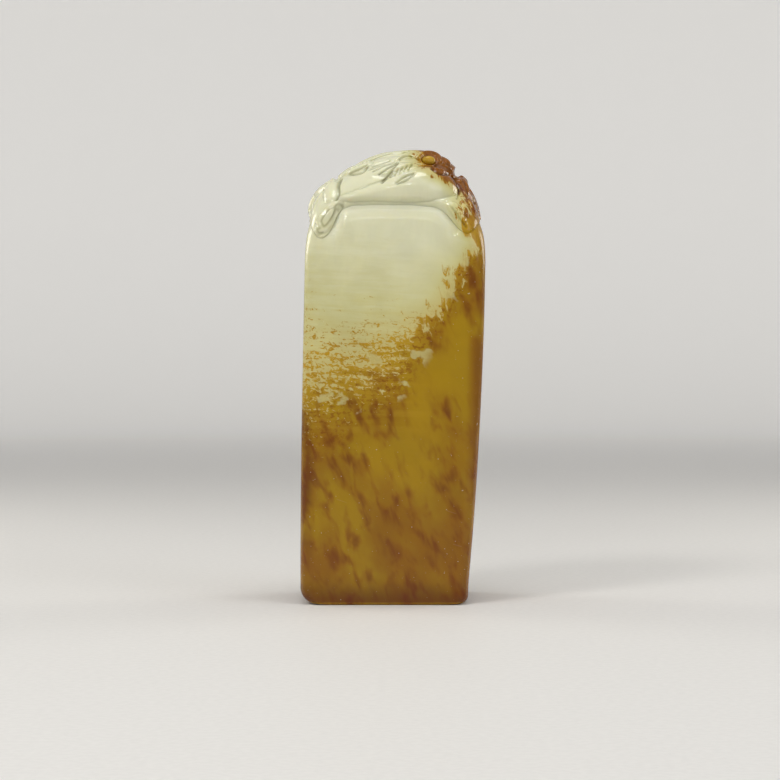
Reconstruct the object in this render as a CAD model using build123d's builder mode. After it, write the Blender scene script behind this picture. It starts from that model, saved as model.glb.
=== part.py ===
"""A tall jade seal stamp: a squared, leaning shaft with a carved printing face at its foot,
a rounded crown, and on the crown a crouching chi-dragon with its head to the right.

Millimetres. +X is right, -Y is the front, +Z is up, and the origin is on the table under
the middle of the stone. The real stone is one pebble: it is divided here along the lines
that its carver cut, and each carved form is let into the form that carries it.
"""
import os
from math import sqrt

from build123d import *

os.makedirs("parts", exist_ok=True)

# The stone. It leans, so its width is taken over foot and shoulder together
stone_width = 32.9
stone_depth = 24.0
foot_width = 29.6
left_lean = 0.9  # how far the left edge moves in from foot to shoulder
shoulder_height = 60.0
edge_round = 2.2  # the four upright edges
foot_round_left = 3.2
foot_round_right = 1.6
foot_bevel = 0.35
half_depth = stone_depth / 2
left_side = -stone_width / 2
right_side = stone_width / 2
foot_right = left_side + foot_width
shoulder_left = left_side + left_lean
sweep = stone_width - foot_width

# The right edge sweeps out as it rises: shares of the shaft's height, and of the whole sweep
sweep_height_shares = (0.0, 0.35, 0.7, 1.0)
sweep_shares = (0.0, 0.6, 0.9, 1.0)

# The printing face: a border, and square spirals on a sunk ground
face_recess = 0.8
face_border = 1.6
fret_turns = 4  # pitches along the longest side of a spiral
fret_line_share = 0.5  # of the pitch

# The crown carries the shaft's section up to a ledge. Its ends draw in and its corners grow
# rounder as it rises, and near the ledge its front and back roll in to a lip
ledge_rise = 9.4
ledge_inset = 2.0
shoulder_round = 8.0  # corner radius at the ledge
lip_depth = 1.05
inset_power = 1.8
corner_power = 3.5
crown_level_shares = (0.0, 0.35, 0.6, 0.8)
lip_level_shares = (0.8, 0.88, 0.95, 0.985, 1.0)
ledge_height = shoulder_height + ledge_rise
ledge_middle = (shoulder_left + right_side) / 2

# The torso is a plump dome on the ledge. Its plan and rise follow powers, 2 being an ellipse
torso_end_gap = 4.05  # from its ends to the stone's sides
torso_setback = 0.8  # from its front and back to the stone's
torso_height = 9.8  # over the ledge
torso_drop = 3.4  # how far its middle lies under the ledge
torso_shift = 0.55  # to the right of the ledge's middle
plan_power = 2.4
rise_power = 2.2
torso_corner_share = 0.72  # corner radius of a section, over its half depth
torso_level_shares = (0.0, 0.3, 0.58, 0.8, 0.93, 1.0)
torso_top_share = 0.985  # of the rise, where a last small section closes the dome
torso_half_width = stone_width / 2 - torso_end_gap
torso_half_depth = half_depth - torso_setback
torso_rise = torso_height + torso_drop
torso_middle = Vector(ledge_middle + torso_shift, 0, ledge_height - torso_drop)

# A limb ends in a small ring: how far beyond the end it lies, and its size
end_reach_share = 0.7
end_ring_share = 0.4

front, back = -1, 1
side_names = {front: "front", back: "back"}


def torso_point(x_share, z_share, spread):
    """The point at shares of the torso's half width and rise, at one distance from mid-depth."""
    return torso_middle + Vector(x_share * torso_half_width, spread, z_share * torso_rise)


def torso_size(z_share):
    """The size of the torso's section at this share of its rise, as a share of the largest."""
    return (1 - z_share**rise_power) ** (1 / plan_power)


def skin_depth(x_share, z_share):
    """How far the torso's skin lies from mid-depth: the edge of its rounded section there."""
    size = torso_size(z_share)
    corner = torso_corner_share * torso_half_depth * size
    past = max((abs(x_share) - size) * torso_half_width + corner, 0)
    return torso_half_depth * size - corner + sqrt(max(corner**2 - past**2, 0))


def ellipsoid(centre, radii, lean=0.0, turn=0.0):
    """A ball scaled to three radii, leaned in the front view and then turned in plan, in degrees."""
    ball = scale(Sphere(1, mode=Mode.PRIVATE), by=radii, mode=Mode.PRIVATE)
    return Pos(*centre) * Rot(0, 0, turn) * Rot(0, -lean, 0) * ball


def limb(path, taper_shares, half_thick, half_wide):
    """A tapering limb: elliptical rings square to the path, half_thick towards the front or back
    and half_wide across it, each times its taper. A small ring beyond each end rounds it off."""
    reach = end_reach_share * min(half_thick, half_wide)
    first = path[0] + (path[0] - path[1]).normalized() * reach * taper_shares[0]
    last = path[-1] + (path[-1] - path[-2]).normalized() * reach * taper_shares[-1]
    points = [first, *path, last]
    tapers = [
        end_ring_share * taper_shares[0],
        *taper_shares,
        end_ring_share * taper_shares[-1],
    ]
    with BuildPart(mode=Mode.PRIVATE) as form:
        for index, (point, taper) in enumerate(zip(points, tapers)):
            before = points[max(index - 1, 0)]
            after = points[min(index + 1, len(points) - 1)]
            along = (after - before).normalized()
            outward = Vector(0, 1, 0) - along * along.Y
            with BuildSketch(Plane(origin=point, x_dir=outward, z_dir=along)):
                Ellipse(half_thick * taper, half_wide * taper)
        loft()
    return form.part


def carved_limb(shares, half_thick, half_wide, spread=0.0):
    """A limb whose points are shares: across the torso, up the torso, and the taper there."""
    path = [torso_point(x, z, spread) for x, z, taper in shares]
    return limb(path, [taper for x, z, taper in shares], half_thick, half_wide)


def skin_limb(shares, half_thick, half_wide, side, sink):
    """The same on the torso's front or back skin, with its middle sunk under the skin."""
    path = [torso_point(x, z, side * (skin_depth(x, z) - sink)) for x, z, taper in shares]
    return limb(path, [taper for x, z, taper in shares], half_thick, half_wide)


def cut_seats(*forms):
    """Cuts the seats of these forms out of the part being built."""
    for form in forms:
        add(form, mode=Mode.SUBTRACT)


def row(count, gap):
    """Offsets of count things about their middle."""
    return [(index - (count - 1) / 2) * gap for index in range(count)]


# The head rests on the right of the dome and looks right
head_half_depth = 4.6
head_half_height = 1.9
head_shares = ((0.02, 0.91, 0.76), (0.3, 0.89, 1.0), (0.54, 0.83, 0.92), (0.66, 0.72, 0.7))
muzzle_half_depth = 2.7
muzzle_half_height = 1.25
muzzle_shares = ((0.6, 0.85, 1.0), (0.72, 0.74, 0.8))
jaw_half_depth = 2.1
jaw_half_height = 0.9
jaw_shares = ((0.57, 0.69, 1.0), (0.71, 0.63, 0.8))
eye_radii = (1.5, 1.1, 1.15)
eye_place_shares = (0.405, 0.905)
eye_spread = head_half_depth - eye_radii[1] / 2
brow_half_depth = 0.8
brow_half_height = 0.6
brow_shares = ((0.3, 0.995, 0.8), (0.45, 0.98, 1.0), (0.57, 0.9, 0.75))
brow_spread = eye_spread - brow_half_depth
ear_half_depth = 1.0
ear_half_height = 0.8
ear_shares = ((0.2, 0.9, 0.8), (0.1, 0.935, 1.0), (-0.03, 0.905, 0.45))
ear_spread = head_half_depth + ear_half_depth / 2

eyes, brows, ears = {}, {}, {}
for side in side_names:
    eye_place = torso_point(*eye_place_shares, side * eye_spread)
    eyes[side] = ellipsoid(eye_place, eye_radii)
    with BuildPart() as brow:
        add(carved_limb(brow_shares, brow_half_depth, brow_half_height, side * brow_spread))
        cut_seats(eyes[side])
    brows[side] = brow.part
    ears[side] = carved_limb(ear_shares, ear_half_depth, ear_half_height, side * ear_spread)

with BuildPart() as muzzle:
    add(carved_limb(muzzle_shares, muzzle_half_depth, muzzle_half_height))
    cut_seats(*eyes.values(), *brows.values())

with BuildPart() as jaw:
    add(carved_limb(jaw_shares, jaw_half_depth, jaw_half_height))
    cut_seats(muzzle.part)

with BuildPart() as head:
    add(carved_limb(head_shares, head_half_depth, head_half_height))
    cut_seats(muzzle.part, jaw.part, *eyes.values(), *brows.values(), *ears.values())

# The mane: a crest back along the top, and locks that fan out behind each ear
crest_half_depth = 3.4
crest_half_height = 1.2
crest_shares = (
    (0.02, 0.981, 0.9), (-0.16, 0.966, 1.0), (-0.36, 0.9, 0.9), (-0.53, 0.79, 0.6)
)
lock_thick_share = 0.095  # half thickness, over the mean of the torso's half width and half depth
lock_width_share = 0.066
lock_half_thick = lock_thick_share * (torso_half_width + torso_half_depth) / 2
lock_half_width = lock_width_share * (torso_half_width + torso_half_depth) / 2
lock_sink = 0.25
lock_shares = (
    ((-0.13, 0.91, 1.1), (-0.24, 0.87, 1.0), (-0.37, 0.8, 0.45)),
    ((-0.03, 0.87, 1.15), (-0.14, 0.8, 1.0), (-0.28, 0.7, 0.45)),
    ((0.04, 0.81, 1.2), (-0.07, 0.71, 1.0), (-0.2, 0.6, 0.45)),
    ((0.18, 0.79, 1.2), (0.06, 0.72, 1.0), (-0.1, 0.62, 0.45)),
    ((0.2, 0.69, 1.15), (0.09, 0.62, 1.0), (-0.04, 0.54, 0.45)),
)

with BuildPart() as crest:
    add(carved_limb(crest_shares, crest_half_depth, crest_half_height))
    cut_seats(head.part, *ears.values())

locks = {}
for side in side_names:
    with BuildPart() as mane:
        for shares in lock_shares:
            add(skin_limb(shares, lock_half_thick, lock_half_width, side, lock_sink))
        cut_seats(ears[side], crest.part, head.part)
    locks[side] = mane.part

# Hind legs: a plump haunch tapers left along the ledge, to a paw on the ledge's corner
leg_half_thick = 2.8
leg_half_width = 3.8
leg_sink = 1.1
leg_shares = (
    (0.72, 0.5, 0.66), (0.46, 0.53, 1.0), (0.19, 0.48, 0.95), (-0.08, 0.4, 0.74),
    (-0.4, 0.34, 0.52), (-0.7, 0.305, 0.36),
)
paw_place_shares = (-0.67, 0.8)  # of the stone's half width and half depth
paw_below_ledge = 1.8
paw_radii = (3.8, 1.8, 2.3)
paw_lean = 48.0
paw_turn = 36.0
toe_count = 3
toe_half_thick = 0.85
toe_half_width = 0.7
toe_gap = 1.3
toe_shares = ((0.5, 0.95), (0.8, 1.0), (1.08, 0.5))  # along the paw, and the taper there

# Knees close the left end above the paws
knee_half_depth = 3.2
knee_half_width = 1.5
knee_spread_share = 0.44  # of the torso's half depth, as are the spreads below
knee_shares = ((-0.84, 0.56, 0.75), (-0.965, 0.46, 0.95), (-1.06, 0.32, 1.0), (-1.1, 0.19, 0.8))

# Front paws grip the right shoulder with three claws each
grip_half_depth = 3.1
grip_half_width = 1.4
grip_spread_share = 0.42
grip_shares = ((0.83, 0.64, 0.6), (0.9, 0.52, 0.97), (0.965, 0.4, 1.0), (1.01, 0.26, 0.85))
claw_half_size = 0.8
claw_gap = 1.8
claw_shares = ((1.07, 0.24, 0.95), (1.115, 0.09, 1.0), (1.145, -0.03, 0.5))

# The tail comes up over the left of the dome and forks
tail_half_depth = 1.9
tail_half_width = 1.1
tail_shares = ((-1.07, 0.28, 0.85), (-0.95, 0.48, 1.0), (-0.8, 0.62, 0.92), (-0.64, 0.73, 0.65))
tip_half_depth = 1.6
tip_half_width = 0.95
tip_spread_share = 0.35
tip_shares = ((-0.77, 0.69, 0.6), (-0.61, 0.79, 1.0), (-0.42, 0.86, 0.55))

paws, legs, knees, grips, tips = {}, {}, {}, {}, {}
for side in side_names:
    paw_middle = Vector(
        paw_place_shares[0] * stone_width / 2,
        side * paw_place_shares[1] * half_depth,
        ledge_height - paw_below_ledge,
    )
    paw_place = Pos(*paw_middle) * Rot(0, 0, side * paw_turn) * Rot(0, -paw_lean, 0)
    with BuildPart() as paw:
        add(ellipsoid(paw_middle, paw_radii, paw_lean, side * paw_turn))
        for offset in row(toe_count, toe_gap):
            toe = [(paw_place * Pos(-along * paw_radii[0], 0, offset)).position
                   for along, taper in toe_shares]
            tapers = [taper for along, taper in toe_shares]
            add(limb(toe, tapers, toe_half_thick, toe_half_width))
    paws[side] = paw.part
    with BuildPart() as leg:
        add(skin_limb(leg_shares, leg_half_thick, leg_half_width, side, leg_sink))
        cut_seats(paws[side], locks[side], head.part)
    legs[side] = leg.part
    with BuildPart() as knee:
        spread = side * knee_spread_share * torso_half_depth
        add(carved_limb(knee_shares, knee_half_depth, knee_half_width, spread))
        cut_seats(paws[side], legs[side])
    knees[side] = knee.part
    with BuildPart() as grip:
        spread = side * grip_spread_share * torso_half_depth
        add(carved_limb(grip_shares, grip_half_depth, grip_half_width, spread))
        for offset in row(toe_count, claw_gap):
            add(carved_limb(claw_shares, claw_half_size, claw_half_size, spread + offset))
        cut_seats(legs[side], jaw.part, muzzle.part, head.part)
    grips[side] = grip.part

with BuildPart() as tail:
    add(carved_limb(tail_shares, tail_half_depth, tail_half_width))
    cut_seats(crest.part, *knees.values())

for side in side_names:
    with BuildPart() as tip:
        spread = side * tip_spread_share * torso_half_depth
        add(carved_limb(tip_shares, tip_half_depth, tip_half_width, spread))
        cut_seats(tail.part, crest.part, knees[side], locks[side])
    tips[side] = tip.part

carved = [head.part, muzzle.part, jaw.part, crest.part, tail.part]
for pair in (eyes, brows, ears, locks, legs, paws, knees, grips, tips):
    carved.extend(pair.values())

# Torso: rounded sections stacked up the dome
torso_foot_share = torso_drop / torso_rise

with BuildPart() as torso:
    for level in torso_level_shares:
        rise = torso_foot_share + (torso_top_share - torso_foot_share) * level
        size = torso_size(rise)
        with BuildSketch(Plane.XY.offset(torso_middle.Z + rise * torso_rise)):
            with Locations((torso_middle.X, 0)):
                RectangleRounded(
                    2 * torso_half_width * size,
                    2 * torso_half_depth * size,
                    torso_corner_share * torso_half_depth * size,
                )
    loft()
    cut_seats(*carved)

# Crown: the stone's section up to the lip, and the lip up to the ledge
lip_start = lip_level_shares[0]

with BuildPart() as crown:
    for levels in (crown_level_shares, lip_level_shares):
        for level in levels:
            inset = ledge_inset * level**inset_power
            corner = edge_round + (shoulder_round - edge_round) * level**corner_power
            past_lip = max(level - lip_start, 0) / (1 - lip_start)
            roll = lip_depth * (1 - sqrt(1 - past_lip**2))
            with BuildSketch(Plane.XY.offset(shoulder_height + ledge_rise * level)):
                with Locations((ledge_middle, 0)):
                    RectangleRounded(
                        right_side - shoulder_left - 2 * inset, stone_depth - 2 * roll, corner
                    )
        loft()
    cut_seats(*carved)

# Ground of the printing face, inside its border
ground_left = left_side + foot_round_left + face_border
ground_right = foot_right - foot_round_right - face_border
ground_width = ground_right - ground_left
ground_depth = stone_depth - 2 * (edge_round + face_border)
ground_middle = (ground_left + ground_right) / 2

# Shaft: rounded sections up to the shoulder, the foot's two ends rounded off and its long
# edges bevelled
with BuildPart() as shaft:
    for height_share, sweep_share in zip(sweep_height_shares, sweep_shares):
        left = left_side + left_lean * height_share
        right = right_side - sweep * (1 - sweep_share)
        with BuildSketch(Plane.XY.offset(shoulder_height * height_share)):
            with Locations(((left + right) / 2, 0)):
                RectangleRounded(right - left, stone_depth, edge_round)
    loft()
    with BuildSketch(Plane.XZ) as foot_outline:
        with BuildLine():
            Polyline(
                (left_side, 0),
                (foot_right, 0),
                (right_side + sweep, shoulder_height),
                (left_side - sweep, shoulder_height),
                close=True,
            )
        make_face()
        corners = foot_outline.vertices().group_by(Axis.Y)[0].sort_by(Axis.X)
        fillet(corners[0], foot_round_left)
        corners = foot_outline.vertices().group_by(Axis.Y)[0].sort_by(Axis.X)
        fillet(corners[-1], foot_round_right)
    extrude(amount=stone_depth, both=True, mode=Mode.INTERSECT)
    with BuildSketch(Plane.YZ) as side_outline:
        with Locations((0, shoulder_height / 2)):
            Rectangle(stone_depth, shoulder_height)
        chamfer(side_outline.vertices().group_by(Axis.Y)[0], foot_bevel)
    extrude(amount=stone_width, both=True, mode=Mode.INTERSECT)
    with BuildSketch():
        with Locations((ground_middle, 0)):
            Rectangle(ground_width, ground_depth)
    extrude(amount=face_recess, mode=Mode.SUBTRACT)

# Fret: four mirrored square spirals that start from one short bar in the middle of the ground
pitch_x = ground_width / (2 * (fret_turns + 1))
pitch_y = ground_depth / (2 * fret_turns)
to_middle_share = 0.5  # of a pitch


def fret_corners():
    """Corners of one spiral, in pitches from its first corner, from the bar in to its eye."""
    corners = [(-to_middle_share, -to_middle_share), (-to_middle_share, 0), (fret_turns, 0)]
    x, y, heading = fret_turns, 0, (0, 1)
    for turn in range(1, fret_turns):
        for length in (fret_turns - turn, fret_turns - turn + 1):
            x, y = x + heading[0] * length, y + heading[1] * length
            corners.append((x, y))
            heading = (-heading[1], heading[0])
    return corners


with BuildPart() as seal_fret:
    with BuildSketch():
        for flip_x in (-1, 1):
            for flip_y in (-1, 1):
                line = [
                    (
                        ground_middle + flip_x * (x + to_middle_share) * pitch_x,
                        flip_y * (y + to_middle_share) * pitch_y,
                    )
                    for x, y in fret_corners()
                ]
                with BuildLine():
                    Polyline(*line)
                trace(line_width=fret_line_share * min(pitch_x, pitch_y))
    extrude(amount=face_recess)

finished = {
    "shaft": shaft.part, "seal_fret": seal_fret.part, "crown": crown.part,
    "torso": torso.part, "head": head.part, "muzzle": muzzle.part, "jaw": jaw.part,
    "crest": crest.part, "tail": tail.part,
}
pairs = {
    "eye": eyes, "brow": brows, "ear": ears, "mane_locks": locks, "hind_leg": legs,
    "hind_paw": paws, "knee": knees, "front_paw": grips, "tail_tip": tips,
}
for kind, pair in pairs.items():
    for side, word in side_names.items():
        finished[f"{kind}_{word}"] = pair[side]

for name, part in finished.items():
    part.label = name
    export_step(part, f"parts/{name}.step")
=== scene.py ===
"""The looks of a jade seal stamp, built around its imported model: the polished stone with its sunk
printing face, the beast carved on its crown, and the jade's pale body and russet skin.

Lengths in the tables are millimetres in the model's own frame: +X is right, -Y is the front,
+Z is up, and the origin is on the table under the middle of the stone.
"""

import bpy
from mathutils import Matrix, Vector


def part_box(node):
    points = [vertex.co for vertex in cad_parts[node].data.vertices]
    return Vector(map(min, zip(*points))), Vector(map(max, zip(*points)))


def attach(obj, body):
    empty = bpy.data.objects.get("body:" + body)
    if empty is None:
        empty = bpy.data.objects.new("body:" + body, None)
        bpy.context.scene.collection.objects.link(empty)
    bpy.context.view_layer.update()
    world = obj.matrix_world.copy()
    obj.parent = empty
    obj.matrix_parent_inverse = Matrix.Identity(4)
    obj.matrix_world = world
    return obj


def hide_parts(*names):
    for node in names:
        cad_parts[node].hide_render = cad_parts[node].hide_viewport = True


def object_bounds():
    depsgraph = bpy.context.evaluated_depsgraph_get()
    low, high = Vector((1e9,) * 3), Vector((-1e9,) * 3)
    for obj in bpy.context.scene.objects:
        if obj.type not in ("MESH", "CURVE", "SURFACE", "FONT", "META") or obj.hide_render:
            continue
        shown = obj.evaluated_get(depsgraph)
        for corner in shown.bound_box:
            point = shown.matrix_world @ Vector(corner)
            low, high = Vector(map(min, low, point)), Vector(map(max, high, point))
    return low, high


bl_info = {
    "name": "Jade seal stamp",
    "version": (1, 0, 0),
    "blender": (4, 5, 0),
    "location": "3D View > Sidebar > Seal",
    "description": "Dresses the packed seal stamp with its carved stone and its stage",
    "category": "Object",
}

import bpy
import numpy as np
from mathutils import Vector

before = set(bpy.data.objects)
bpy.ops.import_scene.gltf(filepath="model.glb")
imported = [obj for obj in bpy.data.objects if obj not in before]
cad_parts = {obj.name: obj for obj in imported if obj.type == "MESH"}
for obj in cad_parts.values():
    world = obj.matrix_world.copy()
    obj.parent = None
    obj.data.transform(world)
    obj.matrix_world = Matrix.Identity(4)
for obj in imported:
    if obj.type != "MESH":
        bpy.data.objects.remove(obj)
CAD_BOX = [list(corner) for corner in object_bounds()]

MM = 0.001
SIDES = ("front", "back")
LEDGE = 69.2  # the height of the ledge that the RIM table is drawn for
LINE_DEPTH = 0.22  # the depth of a fine line that the tables of lines are drawn for


# Curves and distances

def through(knots, values, at):
    """Smooth values through a table: between two knots each value follows the cubic whose
    slopes there are those of the lines joining the knots' neighbours."""
    knots = np.asarray(knots, float)
    values = np.asarray(values, float)
    slopes = np.gradient(values, knots, axis=0)
    at = np.clip(np.asarray(at, float), knots[0], knots[-1])
    index = np.clip(np.searchsorted(knots, at, side="right") - 1, 0, len(knots) - 2)
    gap = knots[index + 1] - knots[index]
    share = (at - knots[index]) / gap
    if values.ndim > 1:
        gap, share = gap[..., None], share[..., None]
    square, cube = share**2, share**3
    return (
        (2 * cube - 3 * square + 1) * values[index]
        + (cube - 2 * square + share) * gap * slopes[index]
        + (3 * square - 2 * cube) * values[index + 1]
        + (cube - square) * gap * slopes[index + 1]
    )


def smooth_step(low, high, value):
    """0 below low, 1 above high, and 3t^2 - 2t^3 between them."""
    share = np.clip((value - low) / (high - low), 0, 1)
    return share * share * (3 - 2 * share)


def join(first, second, softness):
    """The larger of two heights, with the corner between them rounded over softness."""
    near = np.clip(softness - np.abs(first - second), 0, None) / softness
    return np.maximum(first, second) + near * near * softness / 4


def finer(path, steps):
    """The table of a path with steps rows for each of its own, on a smooth line through them."""
    path = np.asarray(path, float)
    knots = np.arange(len(path))
    return through(knots, path, np.linspace(0, len(path) - 1, (len(path) - 1) * steps + 1))


def along_path(points, path, flat=2, steep=0.6):
    """For each point: its least gap to the edge of a path's band, and the rise of a bump along it,
    rise x (1 - (d/w)^flat)^steep. The path's columns are a place, a half width and a rise."""
    size = points.shape[-1]
    gap = np.full(points.shape[:-1], np.inf)
    bump = np.zeros(points.shape[:-1])
    for first, last in zip(path[:-1], path[1:]):
        line = last[:size] - first[:size]
        share = np.clip((points - first[:size]) @ line / max(line @ line, 1e-12), 0, 1)
        away = np.linalg.norm(points - first[:size] - share[..., None] * line, axis=-1)
        width = first[size] + share * (last[size] - first[size])
        rise = first[size + 1] + share * (last[size + 1] - first[size + 1])
        gap = np.minimum(gap, away - width)
        bump = np.maximum(bump, rise * np.clip(1 - (away / width) ** flat, 0, None) ** steep)
    return gap, bump


# Meshes

def unit(vectors):
    """The same directions with a length of 1."""
    return vectors / np.maximum(np.linalg.norm(vectors, axis=-1, keepdims=True), 1e-9)


def outward_normals(grid):
    """The unit normals of a closed grid on the dome, which point out of the stone: the cross
    product of its steps round and along."""
    around = np.roll(grid, -1, 1) - np.roll(grid, 1, 1)
    normals = unit(np.cross(around, np.gradient(grid, axis=0)))
    return normals * np.sign(np.sum(normals * (grid - np.array(INSIDE))))


def smooth_mesh(name, points, faces):
    """A smooth mesh of points in metres and of each face's list of corners."""
    mesh = bpy.data.meshes.new(name)
    mesh.from_pydata(points.tolist(), [], faces)
    if mesh.validate():
        raise RuntimeError(f"{name}: its mesh was not valid")
    mesh.polygons.foreach_set("use_smooth", np.ones(len(mesh.polygons), bool))
    return mesh


def grid_quads(index):
    """The quads between the rows of a table of point numbers whose columns go round."""
    beside = np.roll(index, -1, 1)
    return np.stack([index[:-1], beside[:-1], beside[1:], index[1:]], -1).reshape(-1, 4)


def placed(name, data, place=(0, 0, 0)):
    """A new object in the scene."""
    thing = bpy.data.objects.new(name, data)
    thing.location = place
    bpy.context.scene.collection.objects.link(thing)
    return thing


def turned_to(thing, target):
    """Turns a lamp or a camera so that it looks at a place."""
    way = Vector(target) - thing.location
    thing.rotation_euler = way.to_track_quat("-Z", "Y").to_euler()


def put_piece(name, grid, material, nodes, groove_and_shade=None, worked_and_highlight=None):
    """Makes a closed piece of a grid of points in millimetres. The rows go from pole to pole and
    the columns go round; the first and the last row are each drawn together to one point. The
    material reads each point's painted shade, laid in the grooves, the lines and along the seam,
    and how worked by the wheel each point is, which is also painted paler as a highlight."""
    rows, columns = grid.shape[:2]
    ends = grid[[0, -1]].mean(1, keepdims=True)
    points = np.vstack([ends[0], grid[1:-1].reshape(-1, 3), ends[1]]) * MM
    index = 1 + np.arange((rows - 2) * columns).reshape(rows - 2, columns)
    first = np.stack([np.zeros(columns, int), np.roll(index[0], -1), index[0]], -1)
    last = np.stack([np.full(columns, len(points) - 1), index[-1], np.roll(index[-1], -1)], -1)
    quads = grid_quads(index)
    # Where the volume comes out below zero the faces point inwards, and their corners are reversed
    a, b, c, d = np.moveaxis(points[quads], 1, 0)
    way = -1 if np.sum(a * np.cross(c, d - b)) < 0 else 1
    mesh = smooth_mesh(name, points, [corners for part in (first, quads, last)
                                      for corners in part[:, ::way].tolist()])
    for word, values in (("groove_and_shade", groove_and_shade), ("worked_and_highlight", worked_and_highlight)):
        values = np.zeros(grid.shape[:2]) if values is None else values
        values = np.concatenate([[0.0], values[1:-1].ravel(), [0.0]]).astype(np.float32)
        mesh.attributes.new(word, "FLOAT", "POINT").data.foreach_set("value", values)
    mesh.materials.append(material)
    piece = placed(name, mesh)
    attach(piece, "root")
    if nodes:
        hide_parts(*nodes)


# Sizes and colours that a user would change

def length_prop(name, description, millimetres):
    """A length property from its value in millimetres."""
    return bpy.props.FloatProperty(
        name=name, description=description, default=millimetres * MM, unit="LENGTH")


class SealSizes(bpy.types.PropertyGroup):
    """The measures of the stone and of its carving."""

    ledge_height: length_prop("Ledge height", "Height of the lip under the beast", LEDGE)
    lip_fall: length_prop("Lip fall", "How far the faces fall back in the lip", 0.95)
    face_bow: length_prop("Face bow", "How far each polished face bows out", 0.28)
    line_depth: length_prop("Line depth", "Depth of the finest engraved lines", LINE_DEPTH)


def colour_prop(name, description, srgb):
    """A colour property from the three 8-bit values of the colour as it is seen."""
    value = np.array(srgb, float) / 255
    linear = np.where(value <= 0.04045, value / 12.92, ((value + 0.055) / 1.055) ** 2.4)
    return bpy.props.FloatVectorProperty(
        name=name, description=description, subtype="COLOR", size=4, min=0, max=1,
        default=(*linear, 1.0))


class SealColours(bpy.types.PropertyGroup):
    """The colours of the jade and of the stage."""

    white: colour_prop("White", "The pale body of the jade", (222, 221, 188))
    cream: colour_prop("Cream", "The body where the skin begins to tint it", (205, 200, 142))
    ochre: colour_prop("Ochre", "The yellow at the edge of the skin", (188, 150, 38))
    honey: colour_prop("Honey", "The skin's own colour", (166, 131, 14))
    brown: colour_prop("Brown", "The soft mottles in the skin", (124, 66, 6))
    umber: colour_prop("Umber", "The darkest patches of the skin", (92, 32, 2))
    russet: colour_prop("Russet", "The skin on the crown", (132, 75, 8))
    floor: colour_prop("Floor", "The floor and the backdrop", (226, 224, 220))


def sizes():
    return bpy.context.scene.seal_sizes


def colours():
    return bpy.context.scene.seal_colours


# Materials

class Nodes:
    """Short words for building a node tree."""

    def __init__(self, tree):
        self.tree = tree

    def add(self, kind, **settings):
        node = self.tree.nodes.new(kind)
        for key, value in settings.items():
            setattr(node, key, value)
        return node

    def link(self, source, target):
        self.tree.links.new(source, target)

    def put(self, socket, value):
        if isinstance(value, bpy.types.NodeSocket):
            self.link(value, socket)
        else:
            socket.default_value = value

    def math(self, operation, first, second=0.0, third=0.0):
        node = self.add("ShaderNodeMath", operation=operation)
        for socket, value in zip(node.inputs, (first, second, third)):
            self.put(socket, value)
        return node.outputs[0]

    def times(self, first, *others):
        """The product of these values."""
        for other in others:
            first = self.math("MULTIPLY", first, other)
        return first

    def scaled(self, value, factor, added):
        """value x factor + added."""
        return self.math("MULTIPLY_ADD", value, factor, added)

    def spread(self, value, low, high, to_low=0.0, to_high=1.0):
        """value from low to high, mapped smoothly on to_low to to_high."""
        node = self.add("ShaderNodeMapRange", interpolation_type="SMOOTHSTEP")
        for socket, entry in zip(node.inputs, (value, low, high, to_low, to_high)):
            self.put(socket, entry)
        return node.outputs[0]

    def mix(self, share, first, second):
        """A colour that goes from the first to the second by share."""
        node = self.add("ShaderNodeMix", data_type="RGBA")
        for socket, value in zip((node.inputs["Factor"], *node.inputs[6:8]), (share, first, second)):
            self.put(socket, value)
        return node.outputs[2]

    def noise(self, place, scale, stretch=(1, 1, 1), detail=4.0, rough=0.5, twist=0.0, turn=0.0):
        """Noise of this many lumps to a metre, stretched and turned in the front view."""
        mapping = self.add("ShaderNodeMapping", vector_type="TEXTURE")
        self.link(place, mapping.inputs["Vector"])
        mapping.inputs["Rotation"].default_value = (0, turn, 0)
        mapping.inputs["Scale"].default_value = [1 / share for share in stretch]
        node = self.add("ShaderNodeTexNoise")
        for word, value in (("Vector", mapping.outputs[0]), ("Scale", scale), ("Detail", detail),
                            ("Roughness", rough), ("Distortion", twist)):
            self.put(node.inputs[word], value)
        return node.outputs["Fac"]


def new_group(name, inputs, outputs):
    """An empty shader group whose inputs and outputs are given as names with their kinds."""
    tree = bpy.data.node_groups.new(name, "ShaderNodeTree")
    for way, sockets in (("INPUT", inputs), ("OUTPUT", outputs)):
        for word, kind in sockets.items():
            tree.interface.new_socket(name=word, in_out=way, socket_type=f"NodeSocket{kind}")
    nodes = Nodes(tree)
    return nodes, nodes.add("NodeGroupInput"), nodes.add("NodeGroupOutput")


def new_material(name):
    """A material with its Principled shader, and the words for its nodes."""
    material = bpy.data.materials.new(name)
    material.use_nodes = True
    return material, material.node_tree.nodes["Principled BSDF"], Nodes(material.node_tree)


COLOUR_WORDS = ("White", "Cream", "Ochre", "Honey", "Brown", "Umber", "Russet")
GROUPS = {}


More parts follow.
